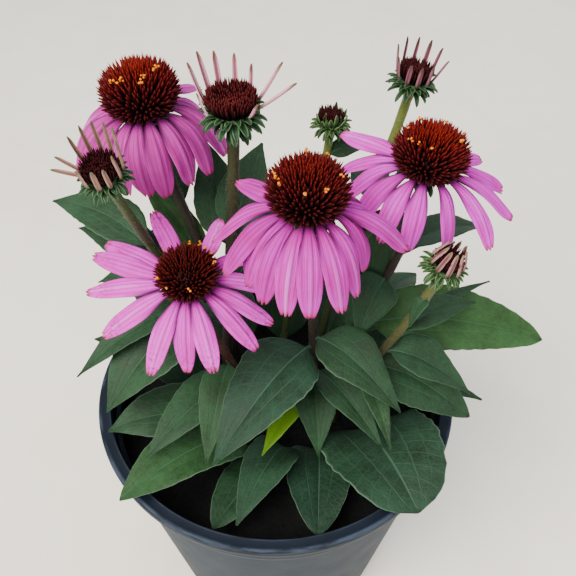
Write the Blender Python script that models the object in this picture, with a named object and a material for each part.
"""Purple coneflower in a nursery pot, modelled in metres with +Z up.

The plant stands with the underside of its pot on z = 0 and the pot's axis on the Z axis. The
front of the plant faces -Y. Four open blooms and five younger heads stand on leafy stems, and
broad leaves on stalks of their own come from the soil around them.
"""
import math
import random
from collections import namedtuple

import bmesh
import bpy
from mathutils import Matrix, Vector

MM = 0.001
FIT_GAP = 0.3 * MM

# Pot: a turned nursery pot with a flat rim, a collar under it and a stacking ledge inside.
POT_HEIGHT = 180 * MM
RIM_RADIUS = 110 * MM
RIM_WIDTH = 8 * MM
RIM_DROP = 7 * MM
COLLAR_HEIGHT = 24 * MM
COLLAR_RADIUS = 104.5 * MM
WALL_TOP_RADIUS = 101.5 * MM
WALL_BASE_RADIUS = 78 * MM
WALL_THICKNESS = 2.0 * MM
FLOOR_THICKNESS = 3.0 * MM
LEDGE_DEPTH = 13 * MM
LEDGE_WIDTH = 3.5 * MM
POT_SIDES = 32
DRAIN_HOLES = 6
DRAIN_RADIUS = 6 * MM
DRAIN_CIRCLE = 54 * MM

# Soil: fills the pot to 30 mm below the rim, with a slightly raised, uneven top.
SOIL_TOP = 150 * MM
SOIL_SIDES = 16
SOIL_MOUND = 3 * MM
SOIL_UNEVEN = 1.6 * MM
HOLE_DEPTH = 14 * MM
HOLE_SIDES = 7

# Blades: leaves, petals, bracts and young rays.
LEAF_THICKNESS = 0.8 * MM
STALK_HALF_WIDTH = 1.2 * MM
STALK_THICKNESS = 2.0 * MM
STALK_RISE = 5 * MM
PETAL_THICKNESS = 0.75 * MM
PETAL_LIFT = math.radians(8)
PETAL_ROLL = math.radians(9)
BRACT_THICKNESS = 0.9 * MM
YOUNG_RAY_THICKNESS = 0.8 * MM
YOUNG_RAY_CLEAR = 2.9
STEM_SIDES = 6

Head = namedtuple("Head", "foot base tilt bow stem_radius receptacle cone cone_height")
Leaf = namedtuple("Leaf", "height tip width bow tilt")
Petal = namedtuple("Petal", "turn droop length roll", defaults=(0,))
YoungRay = namedtuple("YoungRay", "turn rise_from rise_to length")

# foot: where the stem leaves the soil. base: underside of the flower head. tilt: how far the
# head's axis leans. bow: sideways bend of the stem. Then the stem, receptacle and cone radii and
# the cone's height. All in millimetres.
HEADS = {
    "bloom_1": Head((-20, 10), (-58, 14, 364), (-0.08, -0.06), (4, 2), 2.7, 9.5, 15.2, 21),
    "bloom_2": Head((22, -8), (16, -34, 345), (0.00, -0.08), (3, 6), 2.7, 9.5, 15.2, 21),
    "bloom_3": Head((26, 8), (73, 5, 337), (0.10, -0.06), (10, 2), 2.7, 9.5, 15.2, 21),
    "bloom_4": Head((-12, -12), (-40, -29, 296), (-0.04, -0.22), (-2, 4), 2.5, 8.5, 12.8, 16),
    "bud_1": Head((-29, -2), (-17, 4, 369), (-0.03, -0.05), (-4, 0), 3.1, 8.0, 10.2, 10),
    "bud_2": Head((-36, 8), (-69, -31, 360), (-0.06, -0.34), (0, 10), 2.4, 6.2, 7.2, 9),
    "bud_3": Head((24, 24), (69, 46, 361), (0.16, 0.00), (2, 8), 2.6, 6.6, 7.4, 9),
    "bud_4": Head((3, 27), (30, 50, 335), (0.00, 0.00), (-3, 2), 2.3, 5.6, 5.8, 7),
    "bud_5": Head((37, -8), (80, -33, 310), (0.28, -0.14), (5, -3), 2.4, 6.0, 5.8, 9),
}

# Leaves on each stem: height of the joint on the stem, tip position, greatest width, rise of the
# blade above its chord, and how far its upper face turns to the front (degrees).
STEM_LEAVES = {
    "bloom_1": (
        Leaf(268, (-68, 22, 322), 18, 4, 55), Leaf(250, (-85, 41, 262), 26, 12, 25),
        Leaf(205, (-74, 70, 216), 30, 12, -10), Leaf(302, (-76, 64, 318), 22, 9, 5),
    ),
    "bloom_2": (
        Leaf(232, (-32, -74, 205), 44, 11, 0), Leaf(240, (67, -54, 225), 30, 9, 10),
        Leaf(200, (25, -54, 182), 26, 8, 0), Leaf(206, (60, -56, 194), 22, 8, 5),
        Leaf(190, (-7, -56, 186), 18, 6, -25),
    ),
    "bloom_3": (
        Leaf(265, (45, -16, 240), 24, 6, 40), Leaf(225, (160, 6, 215), 38, 10, 34),
        Leaf(240, (54, 12, 300), 20, 4, 60), Leaf(280, (127, 53, 262), 18, 10, 15),
        Leaf(205, (92, 62, 215), 34, 14, -10),
    ),
    "bloom_4": (
        Leaf(218, (-37, -68, 197), 22, 9, 0), Leaf(200, (-69, -67, 201), 28, 10, 10),
    ),
    "bud_1": (
        Leaf(285, (-36, 44, 330), 26, 5, 40), Leaf(292, (-6, 44, 328), 26, 5, 50),
        Leaf(250, (12, 68, 282), 22, 9, 10),
    ),
    "bud_2": (
        Leaf(235, (-94, -41, 207), 44, 10, 10), Leaf(245, (-110, -28, 222), 20, 8, 10),
        Leaf(262, (-102, 19, 250), 18, 8, 15), Leaf(272, (-112, 38, 275), 24, 9, 25),
        Leaf(294, (-124, 42, 291), 28, 10, 20),
    ),
    "bud_3": (
        Leaf(250, (98, 35, 270), 26, 10, 30), Leaf(285, (58, 84, 285), 22, 10, -10),
        Leaf(215, (66, 92, 220), 34, 14, -10),
    ),
    "bud_4": (
        Leaf(316, (51, 52, 320), 11, 3, 35), Leaf(280, (30, 88, 292), 20, 8, -5),
        Leaf(245, (-8, 82, 262), 26, 12, 0), Leaf(205, (12, 94, 214), 32, 14, -5),
    ),
    "bud_5": (
        Leaf(255, (111, -2, 255), 16, 7, 25), Leaf(288, (73, -25, 268), 9, 3, 20),
        Leaf(238, (110, -32, 212), 24, 8, 15), Leaf(222, (112, -36, 195), 34, 8, 28),
        Leaf(212, (63, -64, 205), 13, 6, 0), Leaf(245, (126, 24, 246), 8, 8, 20),
    ),
}

# Leaves on stalks of their own, from the soil.
BASAL_LEAVES = (
    ((-20, -29), Leaf(0, (-82, -86, 190), 40, 16, 5)),
    ((6, -34), Leaf(0, (-20, -94, 178), 29, 13, 0)),
    ((27, -33), Leaf(0, (24, -94, 166), 39, 5, 0)),
    ((-8, -48), Leaf(0, (-34, -90, 166), 30, 5, 0)),
    ((-38, -20), Leaf(0, (-98, -38, 183), 38, 17, 16)),
    ((51, -22), Leaf(0, (77, -91, 186), 66, 15, 2)),
    ((56, 12), Leaf(0, (123, -22, 192), 22, 14, 10)),
    ((-48, 8), Leaf(0, (-112, 14, 206), 32, 16, 10)),
    ((-44, 28), Leaf(0, (-98, 62, 200), 36, 16, -5)),
    ((-24, 44), Leaf(0, (-56, 104, 192), 36, 16, -5)),
    ((4, 52), Leaf(0, (8, 116, 188), 38, 16, -5)),
    ((32, 46), Leaf(0, (68, 100, 190), 36, 16, -5)),
    ((52, 22), Leaf(0, (116, 48, 204), 32, 16, 0)),
)

# Petals of each open bloom: turn round the head's axis (0 is +X, -90 the front), droop of the tip
# below the horizontal, in degrees, and length in millimetres. Some also roll about their length,
# in degrees at the tip.
PETALS = {
    "bloom_1": (
        11.0,
        Petal(148, 46, 37, 20), Petal(170, 60, 44, 30), Petal(-168, 68, 46, 30), Petal(-146, 84, 44, 10),
        Petal(-117, 97, 42), Petal(-96, 98, 42), Petal(-72, 98, 43), Petal(-46, 96, 42),
        Petal(-22, 90, 43, -25), Petal(0, 80, 43, -40), Petal(28, 76, 38, -40), Petal(58, 34, 34, -20),
        Petal(108, 58, 36),
    ),
    "bloom_2": (
        10.8,
        Petal(152, 0, 27), Petal(174, 56, 45), Petal(-158, 66, 45), Petal(-144, 82, 44),
        Petal(-125, 79, 45), Petal(-107, 76, 46), Petal(-89, 76, 46), Petal(-64, 75, 46),
        Petal(-44, 82, 44), Petal(-18, 88, 41, -25), Petal(-4, 54, 47, -20), Petal(14, 62, 44),
        Petal(46, 68, 40), Petal(84, 74, 40), Petal(120, 64, 38),
    ),
    "bloom_3": (
        10.0,
        Petal(141, 18, 43), Petal(155, 50, 43), Petal(176, 70, 42, 15), Petal(-156, 78, 42, 10),
        Petal(-130, 84, 40), Petal(-104, 84, 39), Petal(-64, 84, 42), Petal(-34, 58, 46, -45),
        Petal(-10, 46, 47, -25), Petal(12, 38, 42, -45), Petal(36, 26, 36, -20), Petal(66, 66, 36),
        Petal(106, 74, 35),
    ),
    "bloom_4": (
        10.0,
        Petal(116, -10, 38), Petal(66, -14, 30), Petal(152, 0, 42), Petal(165, -4, 43),
        Petal(-176, 6, 43), Petal(-150, 24, 42), Petal(-114, 42, 43), Petal(-94, 58, 40),
        Petal(-72, 50, 41), Petal(-40, 42, 41), Petal(-20, 40, 40), Petal(6, 36, 36),
        Petal(36, 24, 34),
    ),
}

# Young rays of the heads that are still opening: turn, rise at the root and at the tip (degrees
# above the horizontal), and length.
YOUNG_RAYS = {
    "bud_1": (
        2.4,
        YoungRay(-8, 15, 40, 27), YoungRay(18, 15, 58, 26), YoungRay(50, 10, 84, 20),
        YoungRay(84, 10, 84, 23), YoungRay(116, 10, 82, 25), YoungRay(140, 10, 78, 27),
        YoungRay(166, 10, 76, 26), YoungRay(-160, 14, 80, 16), YoungRay(-40, 14, 66, 14),
    ),
    "bud_2": (
        2.2,
        YoungRay(-175, 12, 24, 20), YoungRay(170, 15, 36, 20), YoungRay(146, 12, 80, 20),
        YoungRay(118, 12, 86, 22), YoungRay(92, 12, 88, 23), YoungRay(66, 12, 88, 23),
        YoungRay(38, 12, 88, 24), YoungRay(10, 12, 92, 22), YoungRay(-18, 12, 96, 19),
        YoungRay(-58, 16, 98, 16), YoungRay(-90, 16, 98, 16), YoungRay(-126, 16, 92, 17),
    ),
    "bud_3": (
        2.2,
        YoungRay(-12, 12, 74, 17), YoungRay(22, 12, 84, 19), YoungRay(58, 12, 88, 20),
        YoungRay(94, 12, 90, 20), YoungRay(128, 12, 86, 20), YoungRay(162, 12, 80, 18),
        YoungRay(-164, 10, 80, 15), YoungRay(-124, 10, 92, 13), YoungRay(-86, 10, 94, 13),
        YoungRay(-46, 10, 92, 14),
    ),
    "bud_5": (
        3.0,
        YoungRay(-96, 20, 116, 16), YoungRay(-56, 20, 116, 16), YoungRay(-16, 20, 114, 16),
        YoungRay(24, 20, 112, 16), YoungRay(64, 20, 114, 16), YoungRay(104, 20, 116, 16),
        YoungRay(144, 20, 114, 16), YoungRay(-176, 20, 114, 16), YoungRay(-136, 20, 116, 16),
    ),
}

# Colours and finishes, by what the piece is made of: colour, roughness.
FINISHES = {
    "pot plastic": ((0.045, 0.062, 0.085), 0.55),
    "soil": ((0.020, 0.014, 0.010), 0.95),
    "stem and leaf green": ((0.060, 0.135, 0.075), 0.60),
    "petal pink": ((0.600, 0.170, 0.430), 0.50),
    "young ray pink": ((0.560, 0.300, 0.300), 0.55),
    "cone maroon": ((0.110, 0.012, 0.010), 0.45),
}


def clear_scene():
    for item in list(bpy.data.objects):
        bpy.data.objects.remove(item, do_unlink=True)


def finish(name):
    """The named material, made once."""
    material = bpy.data.materials.get(name)
    if material is None:
        colour, roughness = FINISHES[name]
        material = bpy.data.materials.new(name)
        material.use_nodes = True
        shader = material.node_tree.nodes["Principled BSDF"]
        shader.inputs["Base Color"].default_value = (*colour, 1.0)
        shader.inputs["Roughness"].default_value = roughness
        shader.inputs["Metallic"].default_value = 0.0
        material.diffuse_color = (*colour, 1.0)
    return material


def put(name, mesh_builder, finish_name):
    """Turn a bmesh into an object of the scene."""
    bmesh.ops.recalc_face_normals(mesh_builder, faces=mesh_builder.faces)
    mesh = bpy.data.meshes.new(name)
    mesh_builder.to_mesh(mesh)
    mesh_builder.free()
    mesh.materials.append(finish(finish_name))
    item = bpy.data.objects.new(name, mesh)
    bpy.context.scene.collection.objects.link(item)
    return item


def drop_scraps(builder):
    """Keep the largest connected skin, and drop scraps and the skins of sealed hollows."""
    left = set(builder.verts)
    islands = []
    while left:
        edge = [left.pop()]
        island = set(edge)
        while edge:
            vert = edge.pop()
            for link in vert.link_edges:
                other = link.other_vert(vert)
                if other in left:
                    left.remove(other)
                    island.add(other)
                    edge.append(other)
        islands.append(island)
    islands.sort(key=len)
    for island in islands[:-1]:
        bmesh.ops.delete(builder, geom=list(island), context="VERTS")


def tidy(mesh):
    """Merge the flat slivers that a cut leaves and split what is left into triangles."""
    builder = bmesh.new()
    builder.from_mesh(mesh)
    drop_scraps(builder)
    bmesh.ops.dissolve_limit(
        builder, angle_limit=math.radians(0.5), verts=builder.verts, edges=builder.edges,
    )
    bmesh.ops.triangulate(builder, faces=builder.faces)
    builder.to_mesh(mesh)
    builder.free()


def apply_boolean(item, operation, others, solver):
    """Join others to item, or cut them out of it, and remove them."""
    group = bpy.data.collections.new("tools")
    bpy.context.scene.collection.children.link(group)
    for other in others:
        bpy.context.scene.collection.objects.unlink(other)
        group.objects.link(other)
    boolean = item.modifiers.new("join", "BOOLEAN")
    boolean.operation = operation
    boolean.operand_type = "COLLECTION"
    boolean.collection = group
    boolean.solver = solver
    bpy.context.view_layer.update()
    graph = bpy.context.evaluated_depsgraph_get()
    result = bpy.data.meshes.new_from_object(item.evaluated_get(graph))
    tidy(result)
    material = item.data.materials[0]
    item.modifiers.remove(boolean)
    item.data = result
    item.data.materials.clear()
    item.data.materials.append(material)
    for other in others:
        bpy.data.objects.remove(other, do_unlink=True)
    bpy.data.collections.remove(group)


def turned(profile, sides):
    """A solid of revolution; the profile runs from the axis at the bottom to the axis on top."""
    builder = bmesh.new()
    rings = []
    for radius, height in profile:
        if radius < 1e-7:
            rings.append([builder.verts.new((0.0, 0.0, height))])
            continue
        ring = []
        for step in range(sides):
            angle = 2 * math.pi * step / sides
            ring.append(builder.verts.new((radius * math.cos(angle), radius * math.sin(angle), height)))
        rings.append(ring)
    for low, high in zip(rings, rings[1:]):
        for step in range(sides):
            after = (step + 1) % sides
            if len(low) == 1:
                builder.faces.new((low[0], high[after], high[step]))
            elif len(high) == 1:
                builder.faces.new((low[step], low[after], high[0]))
            else:
                builder.faces.new((low[step], low[after], high[after], high[step]))
    return builder


def pot_inner_radius(height):
    """Radius of the pot's inner face below its ledge."""
    share = height / (POT_HEIGHT - COLLAR_HEIGHT)
    return WALL_BASE_RADIUS + (WALL_TOP_RADIUS - WALL_BASE_RADIUS) * share - WALL_THICKNESS


def make_pot():
    ledge_height = POT_HEIGHT - LEDGE_DEPTH
    collar_foot = POT_HEIGHT - COLLAR_HEIGHT
    rim_inner = RIM_RADIUS - RIM_WIDTH
    ledge_inner = pot_inner_radius(ledge_height)
    profile = [
        (0.0, 0.0),
        (WALL_BASE_RADIUS - 2 * MM, 0.0),
        (WALL_BASE_RADIUS, 3 * MM),
        (WALL_TOP_RADIUS, collar_foot),
        (COLLAR_RADIUS - 1 * MM, collar_foot + 1.5 * MM),
        (COLLAR_RADIUS, POT_HEIGHT - RIM_DROP),
        (RIM_RADIUS - 0.6 * MM, POT_HEIGHT - RIM_DROP),
        (RIM_RADIUS, POT_HEIGHT - 1.2 * MM),
        (RIM_RADIUS - 1.2 * MM, POT_HEIGHT),
        (rim_inner, POT_HEIGHT),
        (rim_inner - 0.8 * MM, ledge_height + 1 * MM),
        (rim_inner - LEDGE_WIDTH, ledge_height),
        (ledge_inner - 0.6 * MM, ledge_height - 4 * MM),
        (pot_inner_radius(FLOOR_THICKNESS), FLOOR_THICKNESS),
        (0.0, FLOOR_THICKNESS),
    ]
    pot = put("pot", turned(profile, POT_SIDES), "pot plastic")
    drills = []
    for number in range(DRAIN_HOLES):
        angle = 2 * math.pi * (number + 0.5) / DRAIN_HOLES
        drill = bmesh.new()
        bmesh.ops.create_cone(
            drill, cap_ends=True, segments=12, radius1=DRAIN_RADIUS, radius2=DRAIN_RADIUS,
            depth=4 * FLOOR_THICKNESS,
            matrix=Matrix.Translation((DRAIN_CIRCLE * math.cos(angle), DRAIN_CIRCLE * math.sin(angle), 0.0)),
        )
        drills.append(put("drill", drill, "pot plastic"))
    apply_boolean(pot, "DIFFERENCE", drills, "EXACT")
    return pot


def make_soil(holes):
    """Soil plug with an uneven top and a plain hole for every stem and leaf stalk."""
    draw = random.Random(11)
    floor = FLOOR_THICKNESS + FIT_GAP
    edge = pot_inner_radius(SOIL_TOP) - FIT_GAP
    profile = [(0.0, floor), (pot_inner_radius(floor) - FIT_GAP, floor), (edge, SOIL_TOP)]
    for share in (0.80, 0.52, 0.26):
        profile.append((edge * share, SOIL_TOP + SOIL_MOUND * (1 - share)))
    profile.append((0.0, SOIL_TOP + SOIL_MOUND))
    builder = turned(profile, SOIL_SIDES)
    for vert in builder.verts:
        if vert.co.z > SOIL_TOP + 0.01 * MM:
            vert.co.z += draw.uniform(-SOIL_UNEVEN, SOIL_UNEVEN)
    bmesh.ops.triangulate(builder, faces=builder.faces)
    soil = put("soil", builder, "soil")
    drills = []
    for (x, y), radius, sides in holes:
        drill = bmesh.new()
        bmesh.ops.create_cone(
            drill, cap_ends=True, segments=sides, radius1=radius, radius2=radius, depth=2 * HOLE_DEPTH,
            matrix=Matrix.Translation((x, y, SOIL_TOP)),
        )
        drills.append(put("drill", drill, "soil"))
    apply_boolean(soil, "DIFFERENCE", drills, "EXACT")
    return soil


def loft(rings):
    """A closed skin over rings of points; six-point rings get halves split alike on both faces."""
    builder = bmesh.new()
    loops = [[builder.verts.new(point) for point in ring] for ring in rings]
    count = len(rings[0])
    for low, high in zip(loops, loops[1:]):
        for step in range(count):
            after = (step + 1) % count
            a, b, c, d = low[step], low[after], high[after], high[step]
            if count == 6 and step in (1, 4):
                builder.faces.new((a, b, c))
                builder.faces.new((a, c, d))
            else:
                builder.faces.new((a, b, d))
                builder.faces.new((b, c, d))
    for loop in (loops[0], loops[-1]):
        if count == 6:
            builder.faces.new((loop[0], loop[1], loop[4], loop[5]))
            builder.faces.new((loop[1], loop[2], loop[3], loop[4]))
        else:
            builder.faces.new(loop)
    bmesh.ops.triangulate(builder, faces=[face for face in builder.faces if len(face.verts) > 3])
    return builder


def blade_ring(centre, side, normal, half_width, fold, thickness, left_lift=0.0, right_lift=0.0):
    """Six points round a blade's section: left, middle and right on top, then back below."""
    edge = normal * (fold * half_width)
    left = centre - side * half_width + edge + normal * left_lift
    right = centre + side * half_width + edge + normal * right_lift
    down = normal * thickness
    return [left, centre.copy(), right, right - down, centre - down, left - down]


def bezier(points, t):
    a, b, c, d = points
    s = 1 - t
    return a * s ** 3 + b * (3 * s * s * t) + c * (3 * s * t * t) + d * t ** 3


def head_axes(head):
    """Right, back and up directions of a flower head."""
    up = Vector((head.tilt[0], head.tilt[1], 1.0)).normalized()
    right = (Vector((1, 0, 0)) - up * up.x).normalized()
    return right, up.cross(right), up


def stem_curve(head):
    """Control points of the stem, from the soil to the underside of its head."""
    foot = Vector((head.foot[0], head.foot[1], 0)) * MM + Vector((0, 0, SOIL_TOP))
    base = Vector(head.base) * MM
    up = head_axes(head)[2]
    span = (base - foot).length
    bow = Vector((head.bow[0], head.bow[1], 0)) * MM
    low = foot + Vector((0, 0, 0.30 * span)) + bow
    high = base - up * (0.32 * span) + bow
    return foot, low, high, base


def stem_point(head, height):
    """Where the stem's middle line passes the given height."""
    curve = stem_curve(head)
    below, above = 0.0, 1.0
    for _ in range(30):
        middle = (below + above) / 2
        if bezier(curve, middle).z < height:
            below = middle
        else:
            above = middle
    return bezier(curve, (below + above) / 2)


def ring_round(centre, right, back, radius, sides):
    points = []
    for step in range(sides):
        angle = 2 * math.pi * step / sides
        points.append(centre + right * (radius * math.cos(angle)) + back * (radius * math.sin(angle)))
    return points


def stem_skin(head):
    """The stem with its flared neck, receptacle and the short boss that carries the cone."""
    curve = stem_curve(head)
    radius = head.stem_radius * MM
    reach = head.receptacle * MM
    right, back, up = head_axes(head)
    x_axis, y_axis = Vector((1, 0, 0)), Vector((0, 1, 0))
    foot = curve[0] + Vector((0, 0, FIT_GAP - HOLE_DEPTH))
    rings = [
        ring_round(foot, x_axis, y_axis, radius, STEM_SIDES),
        ring_round(curve[0] + Vector((0, 0, 5 * MM)), x_axis, y_axis, radius, STEM_SIDES),
    ]
    for share in (0.18, 0.36, 0.54, 0.72, 0.90):
        centre = bezier(curve, share)
        ahead = (bezier(curve, share + 0.01) - centre).normalized()
        side = (x_axis - ahead * ahead.x).normalized()
        rings.append(ring_round(centre, side, ahead.cross(side), radius * (1.0 - 0.08 * share), STEM_SIDES))
    base = curve[3]
    for height, share in ((-0.75, 0.42), (-0.30, 0.80), (-0.10, 1.0), (0.0, 1.0)):
        rings.append(ring_round(base + up * (height * reach), right, back, share * reach, STEM_SIDES))
    boss = 0.5 * reach
    top = 1.7 * MM
    rings.append(ring_round(base, right, back, boss, STEM_SIDES))
    rings.append(ring_round(base + up * top, right, back, boss, STEM_SIDES))
    return loft(rings)


LEAF_STATIONS = (
    # share of length, share of half width
    (0.00, 0.00), (0.12, 0.00), (0.32, 0.84), (0.56, 1.00), (0.83, 0.54), (1.00, 0.06),
)


def leaf_skin(start, leaf, draw, depth=0.0):
    """A leaf from start to its tip: a stalk that widens into a folded, waved blade.

    With a depth the stalk stands upright at its start and reaches that far down below it.
    """
    tip = Vector(leaf.tip) * MM
    chord = tip - start
    lift = Vector((0, 0, leaf.bow * MM * 2))
    control = start + chord * 0.42 + lift
    first = start + Vector((0, 0, leaf.bow * 1.3 * MM)) if depth else start + (control - start) * 0.5
    curve = (start, first, start + (control - start) * 0.9 + chord * 0.08, tip)
    tilt = math.radians(leaf.tilt)
    face = Vector((0, -math.sin(tilt), math.cos(tilt)))
    fold = draw.uniform(0.12, 0.30)
    wave = 0.045 * leaf.width * MM
    rings = []
    if depth:
        side = chord.cross(Vector((0, 0, 1))).normalized()
        normal = side.cross(Vector((0, 0, 1)))
        for height in (-depth, 0.0):
            centre = start + Vector((0, 0, height)) + normal * (STALK_THICKNESS / 2)
            rings.append(blade_ring(centre, side, normal, STALK_HALF_WIDTH, 0.0, STALK_THICKNESS))
    for number, (share, wide) in enumerate(LEAF_STATIONS):
        if depth and number == 0:
            continue
        centre = bezier(curve, share)
        ahead = bezier(curve, min(share + 0.02, 1.0)) - bezier(curve, max(share - 0.02, 0.0))
        ahead.normalize()
        side = ahead.cross(face).normalized()
        normal = side.cross(ahead).normalized()
        stalk = wide == 0.0
        half_width = max(STALK_HALF_WIDTH, wide * leaf.width * MM / 2)
        thickness = STALK_THICKNESS if stalk else LEAF_THICKNESS
        left = 0.0 if stalk else wave * wide * (1 if number % 2 else -1) * draw.uniform(0.5, 1.0)
        right = 0.0 if stalk else wave * wide * (-1 if number % 2 else 1) * draw.uniform(0.5, 1.0)
        centre = centre + normal * (thickness / 2)
        bend = 0.0 if stalk else fold
        rings.append(blade_ring(centre, side, normal, half_width, bend, thickness, left, right))
    return loft(rings)


def petal_axes(out, across, up, slope, roll):
    """Sideways and outward directions of a petal's section, rolled so that petals overlap like tiles."""
    normal = up * math.cos(slope) - out * math.sin(slope)
    side = across * -math.cos(roll) + normal * math.sin(roll)
    return side, normal * math.cos(roll) + across * math.sin(roll)


def petal_skin(head, petal, width):
    """One ray petal: it leaves the head almost level, arches over and ends in a notched tip."""
    right, back, up = head_axes(head)
    turn = math.radians(petal.turn)
    out = right * math.cos(turn) + back * math.sin(turn)
    across = right * -math.sin(turn) + back * math.cos(turn)
    stations = (
        # share of length, share of half width, fold
        (0.00, 0.24, 0.0), (0.25, 0.72, -0.20), (0.62, 1.00, -0.24),
    )
    twist = math.radians(petal.roll)
    steps = 24
    start = Vector(head.base) * MM + out * ((head.receptacle - 1.2) * MM) + up * (1.55 * MM)
    path = [start.copy()]
    slopes = []
    droop = math.radians(petal.droop)
    for step in range(steps):
        share = (step + 0.5) / steps
        slope = PETAL_LIFT - (PETAL_LIFT + droop) * (1 - (1 - share) ** 2)
        slopes.append(slope)
        path.append(path[-1] + (out * math.cos(slope) + up * math.sin(slope)) * (petal.length * MM / steps))
    slopes.append(slopes[-1])
    rings = []
    for share, wide, fold in stations:
        step = round(share * steps)
        slope = slopes[step]
        side, normal = petal_axes(out, across, up, slope, PETAL_ROLL * wide + twist * share)
        rings.append(blade_ring(path[step], side, normal, wide * width * MM / 2, fold, PETAL_THICKNESS))
    side, normal = petal_axes(out, across, up, slopes[-1], PETAL_ROLL + twist)
    last = blade_ring(path[-1], side, normal, 0.46 * width * MM / 2, -0.1, PETAL_THICKNESS)
    notch = (path[-1] - path[-2]).normalized() * (0.10 * width * MM)
    last[1] = last[1] - notch * 1.6
    last[4] = last[4] - notch * 1.6
    rings.append(last)
    return loft(rings)


def ray_ring_skin(head, sides):
    """The flat ring of ray florets' feet round the boss, between receptacle and cone."""
    right, back, up = head_axes(head)
    base = Vector(head.base) * MM
    inner = 0.5 * head.receptacle * MM + 0.5 * MM
    outer = (head.receptacle + 0.6) * MM
    low = base + up * FIT_GAP
    high = base + up * (1.9 * MM)
    builder = bmesh.new()
    loops = []
    for centre, radius in ((low, outer), (high, outer), (high, inner), (low, inner)):
        loops.append([builder.verts.new(point) for point in ring_round(centre, right, back, radius, sides)])
    for number in range(4):
        here, there = loops[number], loops[(number + 1) % 4]
        for step in range(sides):
            after = (step + 1) % sides
            builder.faces.new((here[step], here[after], there[after], there[step]))
    bmesh.ops.triangulate(builder, faces=builder.faces)
    return builder


def strip_skin(start, out, across, up, spans, width, thickness, shares):
    """A narrow strip, three-sided in section, along straight spans of (length, rise)."""
    point = start.copy()
    rings = []
    for number, wide in enumerate(shares):
        slope = math.radians(spans[min(number, len(spans) - 1)][1])
        if 0 < number < len(spans):
            slope = (slope + math.radians(spans[number - 1][1])) / 2
        normal = up * math.cos(slope) - out * math.sin(slope)
        half = wide * width / 2
        rings.append([
            point - across * half, point + across * half, point - normal * (thickness * max(wide, 0.6)),
        ])
        if number < len(spans):
            length, rise = spans[number]
            rise = math.radians(rise)
            point = point + (out * math.cos(rise) + up * math.sin(rise)) * (length * MM)
    return loft(rings)


def young_ray_skin(head, ray, width):
    """A narrow young ray: it runs out past the cone's spikes, then turns up beside them."""
    right, back, up = head_axes(head)
    turn = math.radians(ray.turn)
    out = right * math.cos(turn) + back * math.sin(turn)
    across = right * -math.sin(turn) + back * math.cos(turn)
    root = head.receptacle - 0.6
    first = (head.cone + YOUNG_RAY_CLEAR - root) / math.cos(math.radians(ray.rise_from))
    rest = (ray.length - first) / 2
    middle = ray.rise_from + (ray.rise_to - ray.rise_from) * 0.8
    start = Vector(head.base) * MM + out * (root * MM) + up * (1.25 * MM)
    spans = ((first, ray.rise_from), (rest, middle), (rest, ray.rise_to))
    return strip_skin(start, out, across, up, spans, width * MM, YOUNG_RAY_THICKNESS, (0.9, 1.0, 0.9, 0.35))


def bract_skins(name, head, draw):
    """Green bracts in rows under the head: short ones on a bloom, long curled ones on a bud."""
    right, back, up = head_axes(head)
    base = Vector(head.base) * MM
    reach = head.receptacle * MM
    if name.startswith("bloom"):
        rows = ((5, -0.22, 0.68, 8.0, -10, -45, 3.8),)
    else:
        rows = ((8, -0.16, 0.72, 10.5, 5, -45, 3.6), (5, -0.46, 0.48, 11.0, -25, -65, 3.6))
    skins = []
    for row, (count, height, radius, length, rise_from, rise_to, width) in enumerate(rows):
        for number in range(count):
            turn = 2 * math.pi * (number + 0.5 * row) / count + draw.uniform(-0.08, 0.08)
            out = right * math.cos(turn) + back * math.sin(turn)
            across = right * -math.sin(turn) + back * math.cos(turn)
            start = base + up * (height * reach) + out * (radius * reach)
            bend = draw.uniform(-8, 8)
            span = length * draw.uniform(0.45, 0.55)
            spans = ((span, rise_from + bend), (span, rise_to + bend))
            skins.append(strip_skin(
                start, out, across, up, spans, width * MM, BRACT_THICKNESS, (0.6, 1.0, 0.2),
            ))
    return skins


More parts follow.
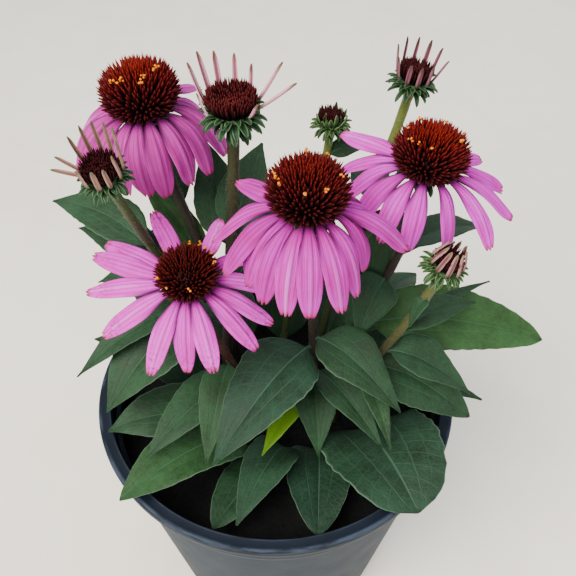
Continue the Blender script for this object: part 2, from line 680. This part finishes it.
def cone_skin(head, around, rows, spike):
    """The cone of a head: a dome whose diamond-shaped facets each rise to a spike."""
    right, back, up = head_axes(head)
    base = Vector(head.base) * MM + up * (1.9 * MM + FIT_GAP)
    belly = head.cone * MM
    foot = min(0.72 * belly, head.receptacle * MM)
    height = head.cone_height * MM

    def dome(share):
        """Radius and height along the dome's outline, from its foot to near its top."""
        angle = math.radians(-48 + share * 128)
        low = math.sin(math.radians(-48))
        radius = belly * math.cos(angle) if angle > 0 else foot + (belly - foot) * (math.cos(angle) - math.cos(math.radians(-48))) / (1 - math.cos(math.radians(-48)))
        rise = (math.sin(angle) - low) / (1 - low)
        return radius, rise * height

    builder = bmesh.new()
    loops = []
    for row in range(rows + 1):
        radius, rise = dome(row / rows)
        loop = []
        for number in range(around):
            turn = 2 * math.pi * (number + 0.5 * (row % 2)) / around
            point = base + up * rise + right * (radius * math.cos(turn)) + back * (radius * math.sin(turn))
            loop.append(builder.verts.new(point))
        loops.append(loop)

    def beside(row, number):
        """The two neighbours one row up, left and right of a point."""
        if row % 2:
            return number % around, (number + 1) % around
        return (number - 1) % around, number % around

    for row in range(rows - 1):
        for number in range(around):
            bottom = loops[row][number]
            left_number, right_number = beside(row, number)
            left, right_point = loops[row + 1][left_number], loops[row + 1][right_number]
            top = loops[row + 2][number]
            centre = (bottom.co + left.co + right_point.co + top.co) / 4
            away = centre - base - up * (0.32 * height)
            away = (away.normalized() + up * 0.25).normalized()
            if row == 0:
                flat = away - up * away.dot(up)
                away = (flat.normalized() + up * 0.35).normalized()
            point = builder.verts.new(centre + away * spike * MM)
            for first, second in ((bottom, right_point), (right_point, top), (top, left), (left, bottom)):
                builder.faces.new((first, second, point))
    for row, direction in ((0, 1), (rows, -1)):
        inner = 1 if row == 0 else rows - 1
        for number in range(around):
            after = (number + 1) % around
            if row % 2:
                shared = loops[inner][after]
            else:
                shared = loops[inner][number]
            builder.faces.new((loops[row][number], loops[row][after], shared))
    builder.faces.new(loops[0])
    middle = builder.verts.new(base + up * (dome(1.0)[1] + 0.4 * spike * MM))
    for number in range(around):
        builder.faces.new((loops[rows][number], loops[rows][(number + 1) % around], middle))
    bmesh.ops.triangulate(builder, faces=[face for face in builder.faces if len(face.verts) > 3])
    return builder


def fuse(name, skins, finish_name):
    """Join a main piece with the repeats that grow from it into one solid."""
    main = put(name, skins[0], finish_name)
    repeats = [put(name + "_repeat", skin, finish_name) for skin in skins[1:]]
    if repeats:
        apply_boolean(main, "UNION", repeats, "MANIFOLD")
    return main


def make_heads():
    for name, head in HEADS.items():
        draw = random.Random("leaves of " + name)
        skins = [stem_skin(head)]
        for leaf in STEM_LEAVES[name]:
            start = stem_point(head, leaf.height * MM)
            skins.append(leaf_skin(start, leaf, draw))
        skins.extend(bract_skins(name, head, draw))
        fuse("stem_" + name, skins, "stem and leaf green")
        if name in PETALS:
            width, *petals = PETALS[name]
            skins = [ray_ring_skin(head, 8)]
            for petal in petals:
                skins.append(petal_skin(head, petal, width * draw.uniform(0.92, 1.08)))
            fuse("petals_" + name, skins, "petal pink")
            put("cone_" + name, cone_skin(head, 16, 6, 4.6), "cone maroon")
            continue
        if name in YOUNG_RAYS:
            width, *rays = YOUNG_RAYS[name]
            skins = [ray_ring_skin(head, 8)]
            for ray in rays:
                skins.append(young_ray_skin(head, ray, width))
            fuse("rays_" + name, skins, "young ray pink")
        put("cone_" + name, cone_skin(head, 12, 4, 3.0), "cone maroon")


def make_basal_leaves():
    draw = random.Random(5)
    for number, ((x, y), leaf) in enumerate(BASAL_LEAVES, 1):
        start = Vector((x * MM, y * MM, SOIL_TOP + STALK_RISE))
        depth = STALK_RISE + HOLE_DEPTH - FIT_GAP
        fuse("basal_leaf_%02d" % number, [leaf_skin(start, leaf, draw, depth)], "stem and leaf green")


def main():
    clear_scene()
    make_pot()
    holes = []
    for head in HEADS.values():
        centre = (head.foot[0] * MM, head.foot[1] * MM)
        holes.append((centre, (head.stem_radius * MM + FIT_GAP) / math.cos(math.pi / HOLE_SIDES), HOLE_SIDES))
    for (x, y), _ in BASAL_LEAVES:
        holes.append(((x * MM, y * MM), 2.2 * MM, 6))
    make_soil(holes)
    make_heads()
    make_basal_leaves()


if __name__ == "__main__":
    main()
